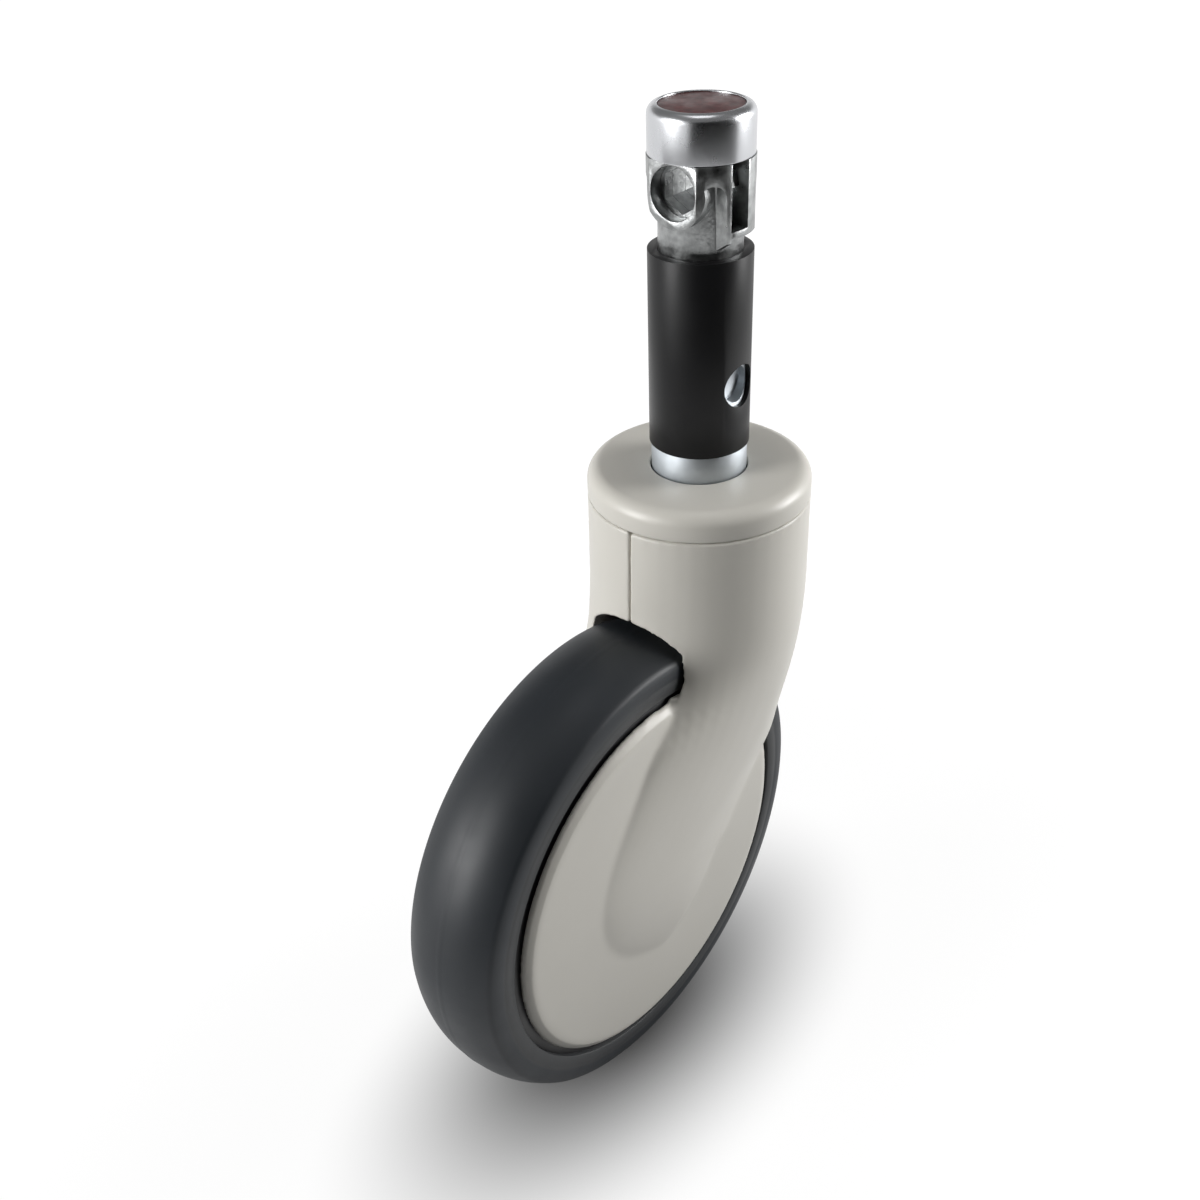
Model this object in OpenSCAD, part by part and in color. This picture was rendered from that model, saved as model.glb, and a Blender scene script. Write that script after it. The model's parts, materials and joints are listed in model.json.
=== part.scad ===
// Total lock castor with a plug-in stem.
// Z is the swivel axis, and Z = 0 is the lower end of the stem's sleeve. The wheel trails towards -X.

/* [Wheel] */
// Diameter of the wheel over the tread
wheel_d = 150; // [120:1:160]
// Width of the tyre over its side faces
tread_w = 32.4; // [29:0.1:36]
// Drop of the tread from its crown to its shoulder
tread_drop = 4.1; // [2:0.1:6]
// Radial thickness of the tyre
tyre_t = 13.5; // [10:0.1:16]
// Horizontal distance from the swivel axis to the axle
trail = 44; // [40:0.5:46]
// Diameter of the axle
axle_d = 15; // [12:0.5:17]
// Number of ribs on each side of the rim's web
rim_ribs = 10; // [5:1:16]

/* [Fork] */
// Diameter of the round head
head_d = 64; // [62:0.5:70]
// Height of the ring cap on the head
head_cap_h = 8.4; // [8:0.1:10]
// Radius of the cap's rounded edge
head_cap_round = 4.2; // [2:0.1:5]
// Height from the top of the tread to the top of the head
head_h = 41; // [40:0.5:50]
// Reach of the leg's rounded end below the axle
leg_end = 31; // [24:0.5:36]
// Stand of the legs beyond the tyre's sides at the axle
leg_stand = 5.3; // [4:0.1:7]
// Stand of the wheel covers' flat faces beyond the tyre's sides
cover_stand = 2.2; // [1.8:0.1:3.2]
// Wall of the wheel covers
cover_wall = 3; // [2.4:0.1:3.4]
// Radius of the rounded edge of the wheel covers
cover_round = 3.6; // [2.6:0.1:4]
// Radial gap between a wheel cover and the tyre's side ring
cover_gap = 2.3; // [1:0.1:4]
// Radial room between the tread and the arch above it
arch_room = 4; // [2:0.1:5]
// Room between the tyre's side and the inside of a leg
leg_room = 1.2; // [0.8:0.1:1.8]
// Width of the joint line between mouldings
seam_w = 0.3; // [0.1:0.05:0.5]

/* [Stem] */
// Outer diameter of the sleeve
stem_d = 28; // [27.6:0.1:30]
// Length of the sleeve
sleeve_l = 55; // [50:0.5:70]
// Wall of the sleeve
sleeve_wall = 1.45; // [1:0.05:1.8]
// Diameter of the steel collar below the sleeve
collar_d = 26.9; // [25:0.1:27.4]
// Height of the collar that shows above the head
collar_h = 7.75; // [5:0.05:12]
// Bore of the tube that holds the return spring
spring_bore_d = 16; // [14:0.1:17]
// Diameter of the hole in the sleeve for the fixing screw
fixing_sleeve_d = 12; // [10.5:0.1:14]
// Diameter of the recess that the fixing screw enters
fixing_d = 10; // [6:0.1:10.4]
// Depth of that recess below the tube's surface
fixing_depth = 3.2; // [2:0.1:3.4]
// Height of the fixing hole above the sleeve's lower end
fixing_z = 19.3; // [12:0.1:35]

/* [Cam housing] */
// Diameter of the neck between sleeve and drum
neck_d = 22.4; // [21:0.1:22.6]
// Height of the neck that shows above the sleeve
neck_h = 5.7; // [3:0.1:10]
// Height of the drum from its lower edge to the cap
drum_h = 18.8; // [18.4:0.1:22]
// Height of the cam's axis above the drum's lower edge
cam_rise = 11.1; // [10.6:0.1:11.3]
// Distance from the stem's axis to the flat face round the bore
boss_face = 12; // [11:0.1:12.4]
// Radius of the boss round the bore
boss_r = 9.1; // [8.9:0.1:10]
// Width of the pockets between bosses and pad
pocket_w = 6.9; // [5:0.1:7.4]
// Height of the pockets' rounded tops above the drum's lower edge
pocket_top = 14; // [12:0.1:16]
// Length of the rib that runs on below the pad
rib_drop = 3.2; // [1:0.1:3.5]
// Direction of the pockets from the cam's axis, in degrees
pocket_turn = 49; // [44:1:54]
// Width of the upright slots in the housing's sides
slot_w = 5.9; // [4:0.1:6.4]
// Offset of the slots from the stem's axis
slot_x = -1.95; // [-2.2:0.05:0]
// Height of the slots' lower ends above the drum's lower edge
slot_bottom = 1.8; // [1:0.1:3]
// Diameter of the polished cap
cap_d = 27.6; // [26:0.1:28]
// Height of the polished cap
cap_h = 12.3; // [10:0.1:16]
// Radius of the cap's rounded edge
cap_round = 3; // [1:0.1:3.4]
// Diameter of the disc set into the cap
disc_d = 19.8; // [15:0.1:20.4]
// Depth of the disc's face below the cap's top
disc_sink = 0.5; // [0.1:0.1:0.8]

/* [Cam and rod] */
// Hexagon bar size across flats
hex_af = 11; // [9:0.1:11.2]
// Turn of the cam from free to locked, in degrees
cam_turn = 30; // [25:1:35]
// Travel of the rod from free to locked
rod_travel = 4.5; // [4:0.1:4.8]
// Diameter of the cam's round bushes
bush_d = 16.5; // [15.5:0.1:16.8]
// Opening in front of the bushes
lip_d = 14; // [13.2:0.1:14.4]
// Push rod size across flats
rod_af = 7.5; // [6:0.1:8]
// Wire diameter of the return spring
spring_wire = 1.6; // [1:0.1:1.8]
// Number of turns of the return spring
spring_turns = 7; // [5:1:9]
// Number of teeth of the swivel lock
lock_teeth = 24; // [24:12:36]

/* [Swivel bearings] */
// Bore of the swivel bearings
swivel_bore = 17; // [16:0.5:17]
// Outside diameter of the swivel bearings
swivel_od = 30; // [29:0.5:31]
// Width of the swivel bearings
swivel_w = 7; // [6:0.5:8]
// Height of the spacers between the swivel bearings
spacer_h = 4; // [2:0.5:5]

/* [Wheel bearings] */
// Outside diameter of the wheel bearings
hub_od = 32; // [30:0.5:34]
// Width of the wheel bearings
hub_w = 9; // [7:0.5:9]
// Distance of the hub's ends inside the tyre's sides
hub_inset = 3.2; // [2.8:0.1:4.2]

/* [Brake] */
// Distance from the swivel axis back to the lever's pin
lever_arm = 20; // [19:0.5:21]
// Thickness of the lever's plate
lever_t = 4; // [3:0.1:5]
// Width of the lever
lever_w = 16; // [12:0.5:17]
// Diameter of the lever's pin
lever_pin_d = 4; // [3:0.1:5]
// Gap between the shoe and the tread when the brake is on
shoe_gap = 0.4; // [0.3:0.1:1]

/* [Fits] */
// Gap between faces that slide on each other
slide_gap = 0.3; // [0.2:0.05:0.4]
// Radial gap between fitted round faces
fit_gap = 0.05; // [0.02:0.01:0.1]

/* [Hidden] */
$fn = 96;

// Colours
shell_grey = [0.84, 0.83, 0.79];
black_plastic = [0.1, 0.1, 0.1];
rubber_grey = [0.27, 0.28, 0.3];
cast_zinc = [0.68, 0.68, 0.67];
polished = [0.8, 0.8, 0.8];
plated_steel = [0.72, 0.73, 0.74];
disc_red = [0.38, 0.17, 0.17];
core_grey = [0.55, 0.55, 0.54];

// Small length by which cuts overshoot the faces that they open
eps = 0.1;

// Stem levels
stem_r = stem_d / 2;
tube_r = stem_r - sleeve_wall;
collar_r = collar_d / 2;
neck_r = neck_d / 2;
sleeve_lip_t = 1.4;
tube_top = sleeve_l - sleeve_lip_t;
spigot_l = 8;
spigot_r = spring_bore_d / 2 + 1.5;
spigot_bottom = tube_top - spigot_l;
spring_seat = 1;
pin_d = 3;
pin_y = spigot_r - pin_d / 2 - 1;
pin_z = tube_top - spigot_l / 2;

// Cam housing levels
drum_bottom = sleeve_l + neck_h;
drum_top = drum_bottom + drum_h;
cam_z = drum_bottom + cam_rise;
cap_wall = 1.45;
cap_spigot_r = cap_d / 2 - cap_wall - fit_gap;
cap_spigot_h = 8.5;
lip_t = boss_face - 8;
bush_end = boss_face - lip_t;
plate_t = slot_w - 2 * 0.25;
plate_x0 = slot_x - plate_t / 2;
plate_x1 = slot_x + plate_t / 2;
bush_gap = 0.1;
retainer_t = 2.6;
disc_t = 0.8;

// Cam and follower
hex_r = hex_af / sqrt(3);
cam_wall = 1.25;
cam_base = hex_r + cam_wall;
tip_r = 2;
tip_x0 = -3.2;
tip_x1 = plate_x1 - 0.2;
tip_path = cam_base + slide_gap + tip_r;
tip_z = cam_z - tip_path;
guide_r = 4.6;
follower_r = guide_r - 0.2;
follower_neck = tip_z - 4.9;
pocket_floor = cam_z - cam_base - 1.2 * rod_travel - 0.9;
flange_t = 2.5;
flange_top = spigot_bottom - 1;
flange_r = spring_bore_d / 2 - slide_gap;
rod_spigot_r = 3;
rod_spigot_l = 8;

// Head levels
head_r = head_d / 2;
head_top = -collar_h;
head_seam = head_top - head_cap_h;
cap_roof = 2.5;
seal_t = 1.75;
seal_top = head_top - cap_roof;
bearing_top = seal_top - seal_t;
lower_bearing_top = bearing_top - swivel_w - spacer_h;
bearing_bottom = lower_bearing_top - swivel_w;
shoulder_h = 0.8;
circlip_t = 1.2;
stem_end = bearing_bottom - circlip_t - 1.8;
carrier_r = swivel_od / 2 + 3.5;
carrier_lip = 2.5;
carrier_flange_r = carrier_r + 2;
carrier_flange_h = 4;
carrier_flange_top = bearing_top - 8;
lock_t = 4;
lock_disc_top = stem_end - 1;
lock_ring_top = lock_disc_top - lock_t - 0.8;
lock_ring_bottom = lock_ring_top - lock_t - 0.2;
lock_tip_r = 12.4;
lock_root_r = 10.4;
lock_ring_tip_r = lock_root_r + slide_gap;
lock_ring_root_r = lock_tip_r + slide_gap;
lock_share = 0.42;
spigot_ring_r = head_r - 3;
spigot_ring_top = head_seam + 3.35;

// Axle and wheel
wheel_r = wheel_d / 2;
axle_drop = wheel_r + head_h;
axle_x = -trail;
axle_z = head_top - axle_drop;
tread_half = tread_w / 2;
leg_face = tread_half + leg_stand;
cover_face = tread_half + cover_stand;
hub_half = tread_half - hub_inset;
shoulder_half = tread_half - 1.1;
side_ring_r = wheel_r - 9.1;
tyre_seat_r = wheel_r - tyre_t;
rim_half = tread_half - 1.6;
rim_band = 9.5;
web_half = 3.5;
cover_r = tyre_seat_r - cover_gap;
cover_inner = cover_face - cover_wall;
well_half = tread_half + leg_room;
well_r = wheel_r + arch_room;
well_step_r = cover_r + 1.2;
hub_r = hub_od / 2 + 5;
axle_end = cover_inner + 2.6;
boss_end = hub_half + fit_gap;

// Lever and shoe
rod_tip_r = 3;
rod_tip_taper = 1.8;
lever_gap = 0.6;
lever_top = lock_ring_bottom - 7.3;
rod_tip = lever_top + lever_gap;
lever_hub_r = lever_pin_d / 2 + 2.2;
lever_z = lever_top - lever_t + 0.3;
lever_front = -6;
lever_turn = rod_travel / lever_arm * 180 / PI;
shoe_front = -5;
shoe_back = 6;
shoe_w = lever_w - 1;
chamber_half = lever_w / 2 + 0.6;
chamber_back = lever_arm + lever_hub_r + 0.4;
chamber_front = lever_front - 3;
ledge_front = shoe_back + 5;
ledge_top = lever_top - lever_t - 7.7;
lever_spring_x = ledge_front + 2.6;
lever_spring_wire = 0.6;
lever_spring_r = 1.5;
lever_spring_turns = 5;

// Shell screws: place in X and Z, and the seat of the head in Y
screw_r = 2;
screw_head_r = 3.5;
screw_head_h = 2.6;
screw_end = -9;
screws = [
    [carrier_flange_r + screw_r + 1, head_seam - 8, 15],
    [lever_arm + 2.5, ledge_top - 7, 7]
];

// General shapes
function arc(centre, r, a0, a1, n) =
    [for (i = [0:n]) centre + r * [cos(a0 + (a1 - a0) * i / n), sin(a0 + (a1 - a0) * i / n)]];

function ease(t) = t <= 0 ? 0 : t >= 1 ? 1 : t * t * (3 - 2 * t);

function blend(a, b, t) = a + (b - a) * t;

// Solid cylinder between two heights
module post(r, z0, z1) {
    translate([0, 0, z0])
        cylinder(r = r, h = z1 - z0);
}

// Tube between two heights
module tube(r, bore, z0, z1) {
    difference() {
        post(r, z0, z1);
        post(bore, z0 - eps, z1 + eps);
    }
}

// Hexagonal bar of a given size across flats
module hex_post(af, z0, z1) {
    translate([0, 0, z0])
        cylinder(r = af / sqrt(3), h = z1 - z0, $fn = 6);
}

// Children drawn along Z are laid along +X at the cam's axis
module on_cam_axis() {
    translate([0, 0, cam_z])
        rotate([0, 90, 0])
            children();
}

// Children drawn along Z are laid along +Y at a place in X and Z
module along_y(x, z) {
    translate([x, 0, z])
        rotate([-90, 0, 0])
            children();
}

module on_axle() {
    along_y(axle_x, axle_z) children();
}

// Keeps the part of the children on the side of positive Y
module positive_y(size) {
    intersection() {
        children();
        translate([-size, seam_w / 2, -size])
            cube([2 * size, size, 2 * size]);
    }
}

// Ball bearing pieces, with the bearing's lower face at Z = 0
function pitch_r(bore, od) = (bore + od) / 4;

function ball_r(bore, od) = (od - bore) * 0.14;

module inner_ring(bore, od, w) {
    rotate_extrude()
        difference() {
            translate([bore / 2, 0])
                square([pitch_r(bore, od) - 0.55 * ball_r(bore, od) - bore / 2, w]);
            translate([pitch_r(bore, od), w / 2])
                circle(ball_r(bore, od) + fit_gap);
        }
}

module outer_ring(bore, od, w) {
    shoulder = pitch_r(bore, od) + 0.55 * ball_r(bore, od);
    rotate_extrude()
        difference() {
            translate([shoulder, 0])
                square([od / 2 - shoulder, w]);
            translate([pitch_r(bore, od), w / 2])
                circle(ball_r(bore, od) + fit_gap);
        }
}

module ball_set(bore, od, w) {
    count = floor(2 * PI * pitch_r(bore, od) / (2.9 * ball_r(bore, od)));
    for (i = [0:count - 1])
        rotate([0, 0, 360 * i / count])
            translate([pitch_r(bore, od), 0, w / 2])
                sphere(ball_r(bore, od));
}

// Coil of round wire as one swept tube
module coil(r, wire_r, z0, z1, turns, per_turn, sides) {
    rings = turns * per_turn;
    function centre(i) = let (a = 360 * i / per_turn)
        [r * cos(a), r * sin(a), blend(z0 + wire_r, z1 - wire_r, i / rings)];
    points = [
        for (i = [0:rings], k = [0:sides - 1])
            let (a = 360 * i / per_turn, b = 360 * k / sides)
                centre(i) + wire_r * [cos(b) * cos(a), cos(b) * sin(a), sin(b)]
    ];
    walls = [
        for (i = [0:rings - 1], k = [0:sides - 1])
            let (n = (k + 1) % sides)
                [i * sides + k, (i + 1) * sides + k, (i + 1) * sides + n, i * sides + n]
    ];
    first = [[for (k = [0:sides - 1]) k]];
    last = [[for (k = [sides - 1:-1:0]) rings * sides + k]];
    polyhedron(points, concat(walls, first, last));
}

// Stem

module stem_tube() {
    color(plated_steel)
    difference() {
        union() {
            post(tube_r, -eps, tube_top);
            post(collar_r, bearing_top + shoulder_h, 0);
            post(swivel_bore / 2 + 2, bearing_top, bearing_top + shoulder_h + eps);
            post(swivel_bore / 2 - fit_gap, stem_end, bearing_top + eps);
        }
        post(spring_bore_d / 2, spring_seat, tube_top + eps);
        post(spigot_r, spigot_bottom, tube_top + eps);
        hex_post(rod_af + 2 * slide_gap, stem_end - eps, spring_seat + eps);
        fixing_recess(fixing_d / 2, tube_r - fixing_depth);
        pin_hole();
        tube(swivel_bore, swivel_bore / 2 - 0.6, bearing_bottom - circlip_t - fit_gap, bearing_bottom - fit_gap);
    }
}

// Round cut from the side of negative Y, down to a given distance from the stem's axis
module fixing_recess(r, depth_y) {
    translate([0, -depth_y, fixing_z])
        rotate([90, 0, 0])
            cylinder(r = r, h = stem_d);
}

module pin_hole() {
    translate([-stem_r, pin_y, pin_z])
        rotate([0, 90, 0])
            cylinder(d = pin_d + 2 * fit_gap, h = stem_d);
}

module stem_sleeve() {
    color(black_plastic)
    difference() {
        post(stem_r, 0, sleeve_l);
        post(tube_r + fit_gap, -eps, tube_top + fit_gap);
        post(neck_r + 2 * fit_gap, tube_top, sleeve_l + eps);
        fixing_recess(fixing_sleeve_d / 2, 0);
    }
}

module cam_housing() {
    color(cast_zinc)
    difference() {
        union() {
            post(spigot_r - fit_gap, spigot_bottom, tube_top + eps);
            post(neck_r, tube_top + fit_gap, drum_top);
            housing_band();
            housing_bosses();
            housing_pad();
            post(cap_spigot_r, drum_top - eps, drum_top + cap_spigot_h);
        }
        housing_flats();
        on_cam_axis()
            post(lip_d / 2, -stem_r, stem_r);
        on_cam_axis()
            post(bush_d / 2 + fit_gap, -bush_end, stem_r);
        housing_slot();
        post(guide_r, spigot_bottom - eps, cam_z);
        pin_hole();
    }
}

// Round bosses at both ends of the cam's bore
module housing_bosses() {
    intersection() {
        on_cam_axis()
            post(boss_r, -stem_r, stem_r);
        post(stem_r, drum_bottom, drum_top);
    }
}

// Upright pad beside the slot, with a rib that runs on below it
module housing_pad() {
    pad_half = stem_r * sin(90 - pocket_turn) - 3;
    rib_w = pad_half + slot_x - slot_w / 2;
    intersection() {
        union() {
            translate([-pad_half, -stem_r, drum_bottom])
                cube([2 * pad_half, stem_r, drum_h]);
            translate([-pad_half, -stem_r, drum_bottom - rib_drop])
                cube([rib_w, stem_r, rib_drop + eps]);
        }
        post(stem_r, drum_bottom - rib_drop, drum_top);
    }
}

// Upper band of the drum, with the round tops of the pockets beside the bosses
module housing_band() {
    band_bottom = drum_bottom + pocket_top - pocket_w / 2;
    difference() {
        post(stem_r, band_bottom, drum_top);
        for (side = [0, 180], turn = [-pocket_turn, pocket_turn])
            rotate([0, 0, side + turn])
                translate([neck_r / 2, 0, band_bottom])
                    rotate([0, 90, 0])
                        cylinder(d = pocket_w, h = stem_r);
    }
}

module housing_flats() {
    for (side = [0, 180])
        rotate([0, 0, side])
            translate([boss_face, -stem_r, drum_bottom - eps])
                cube([stem_r, stem_d, drum_h + cap_spigot_h + 2 * eps]);
}

// Slot that the cam's plate swings in, open at both sides and closed by the cap above
module housing_slot() {
    inner_half = neck_r - 1.8;
    translate([slot_x - slot_w / 2, -stem_r - eps, drum_bottom + slot_bottom])
        cube([slot_w, stem_d + 2 * eps, drum_h + cap_spigot_h]);
    translate([slot_x - slot_w / 2, -inner_half, pocket_floor])
        cube([slot_w, 2 * inner_half, cam_z - pocket_floor]);
}

module housing_pin() {
    half = sqrt(tube_r * tube_r - pin_y * pin_y) - pin_d / 2;
    color(plated_steel)
    translate([-half, pin_y, pin_z])
        rotate([0, 90, 0])
            cylinder(d = pin_d, h = 2 * half);
}

module top_cap() {
    top = drum_top + cap_h;
    r = cap_d / 2;
    color(polished)
    difference() {
        rotate_extrude()
            polygon(concat(
                [[0, drum_top + fit_gap], [r, drum_top + fit_gap]],
                arc([r - cap_round, top - cap_round], cap_round, 0, 90, 8),
                [[0, top]]
            ));
        post(r - cap_wall, drum_top - eps, drum_top + cap_spigot_h + fit_gap);
        post(disc_d / 2 + fit_gap, top - disc_sink - disc_t, top + eps);
    }
}

module cap_disc() {
    top = drum_top + cap_h - disc_sink;
    color(disc_red)
        post(disc_d / 2, top - disc_t + fit_gap / 5, top);
}

module cam_retainer() {
    color(plated_steel)
    on_cam_axis()
        tube(bush_d / 2, lip_d / 2, bush_end, bush_end + retainer_t);
}

module swivel_inner_ring_upper() {
    color(plated_steel)
    translate([0, 0, bearing_top - swivel_w])
        inner_ring(swivel_bore, swivel_od, swivel_w);
}

module swivel_inner_ring_lower() {
    color(plated_steel)
    translate([0, 0, bearing_bottom])
        inner_ring(swivel_bore, swivel_od, swivel_w);
}

module swivel_spacer_inner() {
    color(plated_steel)
        tube(swivel_bore / 2 + 2, swivel_bore / 2, lower_bearing_top, bearing_top - swivel_w);
}

// Split ring in the stem's groove below the lower bearing
module stem_circlip() {
    gap_w = 3;
    color(plated_steel)
    difference() {
        tube(swivel_bore / 2 + 1.8, swivel_bore / 2 - 0.5, bearing_bottom - circlip_t, bearing_bottom - 2 * fit_gap);
        translate([0, -gap_w / 2, bearing_bottom - 2 * circlip_t])
            cube([swivel_bore, gap_w, 3 * circlip_t]);
    }
}

// Cam

// Rise of the cam, as a share of the rod's travel, at an angle past the follower
function cam_rise_at(u) =
    u < 0 ? 0 :
    u < cam_turn ? u / cam_turn :
    u < cam_turn + 12 ? 1 + (u - cam_turn) / cam_turn - pow(u - cam_turn, 2) / (24 * cam_turn) :
    (1 + 6 / cam_turn) * (1 - ease((u - cam_turn - 12) / 60));

// Path of the follower's round tip round the cam, and the cam's edge inside it
function tip_at(a) = (tip_path + rod_travel * cam_rise_at(a + 90)) * [cos(a), sin(a)];

function cam_edge(a) =
    let (along = tip_at(a + 1) - tip_at(a - 1), out = [along[1], -along[0]] / norm(along))
        tip_at(a) - (tip_r + slide_gap) * out;

module cam_outline() {
    finger_r = stem_r - 3;
    union() {
        polygon([for (a = [-180:5:175]) cam_edge(a)]);
        rotate(165)
            translate([0, -2])
                square([finger_r, 4]);
    }
}

module hex_socket(x0, x1) {
    on_cam_axis()
        hex_post(hex_af, x0 - eps, x1 + eps);
}

module cam_plate() {
    color(cast_zinc)
    difference() {
        translate([plate_x0, 0, cam_z])
            rotate([90, 0, 90])
                linear_extrude(plate_t)
                    cam_outline();
        hex_socket(plate_x0, plate_x1);
    }
}

module cam_bush(x0, x1) {
    difference() {
        on_cam_axis()
            post(bush_d / 2, x0, x1);
        hex_socket(x0, x1);
    }
}

module cam_bush_front() {
    color(cast_zinc)
        cam_bush(-bush_end + bush_gap, plate_x0 - bush_gap);
}

module cam_bush_rear() {
    color(cast_zinc)
        cam_bush(plate_x1 + bush_gap, bush_end - bush_gap);
}

// Push rod

module cam_follower() {
    color(plated_steel)
    difference() {
        union() {
            post(flange_r, flange_top - flange_t, flange_top);
            post(follower_r, flange_top - eps, follower_neck);
            translate([tip_x0, -tip_r, follower_neck - eps])
                cube([tip_x1 - tip_x0, 2 * tip_r, tip_z - follower_neck + eps]);
            translate([tip_x0, 0, tip_z])
                rotate([0, 90, 0])
                    cylinder(r = tip_r, h = tip_x1 - tip_x0);
        }
        post(rod_spigot_r + fit_gap, flange_top - flange_t - eps, flange_top - flange_t + rod_spigot_l);
    }
}

module push_rod() {
    top = flange_top - flange_t;
    color(plated_steel)
    union() {
        post(rod_spigot_r, top - eps, top + rod_spigot_l - 0.5);
        hex_post(rod_af, lock_disc_top - lock_t, top);
        post(rod_tip_r, rod_tip + rod_tip_taper, lock_disc_top - lock_t + eps);
        translate([0, 0, rod_tip])
            cylinder(r1 = rod_tip_r - rod_tip_taper, r2 = rod_tip_r, h = rod_tip_taper);
    }
}

// Outline with straight teeth between two radii
module toothed(tip, root, share) {
    pitch = 360 / lock_teeth;
    half = pitch * share / 2;
    polygon([
        for (i = [0:lock_teeth - 1], p = [[root, -half - 1], [tip, -half], [tip, half], [root, half + 1]])
            p[0] * [cos(i * pitch + p[1]), sin(i * pitch + p[1])]
    ]);
}

module swivel_lock_disc() {
    color(plated_steel)
    difference() {
        translate([0, 0, lock_disc_top - lock_t])
            linear_extrude(lock_t)
                toothed(lock_tip_r, lock_root_r, lock_share);
        hex_post(rod_af + 2 * fit_gap, lock_disc_top - lock_t - eps, lock_disc_top + eps);
    }
}

module rod_nut() {
    nut_h = 4;
    top = lock_disc_top - lock_t;
    color(plated_steel)
    difference() {
        hex_post(10, top - nut_h, top);
        post(rod_tip_r + fit_gap, top - nut_h - eps, top + eps);
    }
}

module return_spring() {
    color(plated_steel)
        coil(flange_r - spring_wire / 2 - 0.3, spring_wire / 2, spring_seat + 0.05,
            flange_top - flange_t - 0.05, spring_turns, 16, 6);
}

// Fork

// Moulded half: levels are depths below the top of the head
leg_bottom = axle_drop + leg_end;
flare_start = 36;

// Half width of the moulding at a depth
function half_width(d) =
    d > axle_drop ? leg_face - (leg_face - cover_face - 0.3) * pow((d - axle_drop) / leg_end, 2) :
    blend(head_r, leg_face, ease((d - flare_start) / (axle_drop - flare_start)));

// Share of full length left in the leg's rounded end
function end_share(d) = d < axle_drop ? 1 : sqrt(max(0, 1 - pow((d - axle_drop) / leg_end, 2)));

// Front edge: the head's wall, then a straight leg that runs into the rounded end
leg_front_r = 29;
leg_front_slope = 0.72;
leg_tangent = axle_drop - 18;
front_soft = 5;
function front_line(d) = axle_x - leg_front_r + 5 + leg_front_slope * (leg_tangent - d);

function front_x(d) =
    d > leg_tangent ? axle_x - leg_front_r * sqrt(max(0, 1 - pow((d - axle_drop) / leg_end, 2))) :
    -head_r - front_soft * ln(1 + exp((-head_r - front_line(d)) / front_soft));

// Back edge: the head's wall, then a curve forward to the rounded end
leg_back_r = 35.5;
back_start = axle_drop - 64;
back_reach = 19.5;
function back_line(d) =
    d < back_start ? head_r :
    blend(head_r, axle_x + back_reach, pow((d - back_start) / (leg_bottom - back_start), 1.7));

function back_x(d) =
    d < axle_drop ? back_line(d) :
    min(back_line(d), axle_x + (leg_back_r + 12 * (1 - ease((d - axle_drop) / 14))) * end_share(d));

// Place of the widest point between the edges: the swivel axis at the head, the leg's middle lower down
ridge_start = axle_drop - 44;
ridge_end = 36;
function ridge_x(d) =
    let (along = max(0, min(d, axle_drop) - ridge_start) / (axle_drop - ridge_start))
        max(blend(front_x(d), back_x(d), 0.3), min(-ridge_end * pow(along, 2.2), blend(front_x(d), back_x(d), 0.7)));

// Inner edge of the moulding at its front and back, before the wheel's room is cut
inner_base = cover_face - 1.4;
inner_start = axle_drop - 68;
inner_run = 24;
function front_y(d) = max(seam_w / 2, inner_base * ease((d - inner_start) / inner_run));

function back_y(d) = max(seam_w / 2, inner_base * ease((d - ridge_start) / inner_run));

// Roundness of the section: a half circle at the head, flatter on the leg, and a soft run-out at the leg's back
soft_start = axle_drop - 30;
function section_power(d, t) =
    blend(blend(0.5, 0.55, ease((d - flare_start) / 50)), 0.95, t < 0 ? 0 : ease((d - soft_start) / inner_run));

section_steps = 22;
function section(d) = [
    for (i = [0:section_steps])
        let (t = -cos(180 * i / section_steps), base = blend(front_y(d), back_y(d), (t + 1) / 2))
            [
                ridge_x(d) + t * (t < 0 ? ridge_x(d) - front_x(d) : back_x(d) - ridge_x(d)),
                base + (half_width(d) - base) * pow(max(0, 1 - t * t), section_power(d, t)),
                head_top - d
            ]
];

depths = concat(
    [head_cap_h + seam_w],
    [for (i = [0:20]) blend(flare_start, axle_drop, i / 20)],
    [for (a = [12:12:72]) axle_drop + leg_end * sin(a)],
    [axle_drop + leg_end * 0.985]
);

module leg_loft() {
    n = section_steps + 1;
    rings = len(depths);
    points = [for (d = depths) each section(d)];
    walls = [
        for (i = [0:rings - 2], k = [0:n - 2])
            each [
                [i * n + k, (i + 1) * n + k, (i + 1) * n + k + 1],
                [i * n + k, (i + 1) * n + k + 1, i * n + k + 1]
            ]
    ];
    back = [
        for (i = [0:rings - 2])
            each [
                [i * n + n - 1, (i + 1) * n + n - 1, (i + 1) * n],
                [i * n + n - 1, (i + 1) * n, i * n]
            ]
    ];
    top = [[for (k = [0:n - 1]) k]];
    bottom = [[for (k = [n - 1:-1:0]) (rings - 1) * n + k]];
    polyhedron(points, concat(walls, back, top, bottom));
}

// Round wheel cover with a rounded edge, on the side of positive Y
module wheel_cover() {
    edge_start = asin(max(0, 1 - cover_wall / cover_round));
    on_axle()
        rotate_extrude()
            polygon(concat(
                [[0, cover_inner]],
                cover_wall > cover_round ? [[cover_r, cover_inner]] : [],
                arc([cover_r - cover_round, cover_face - cover_round], cover_round, edge_start, 90, 8),
                [[0, cover_face]]
            ));
}

// Room for the wheel: the tyre's form with space round it, and the rim's room between the covers
function crown(y, r, half, drop) = r - drop * pow(abs(y) / half, 2.4);

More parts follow.
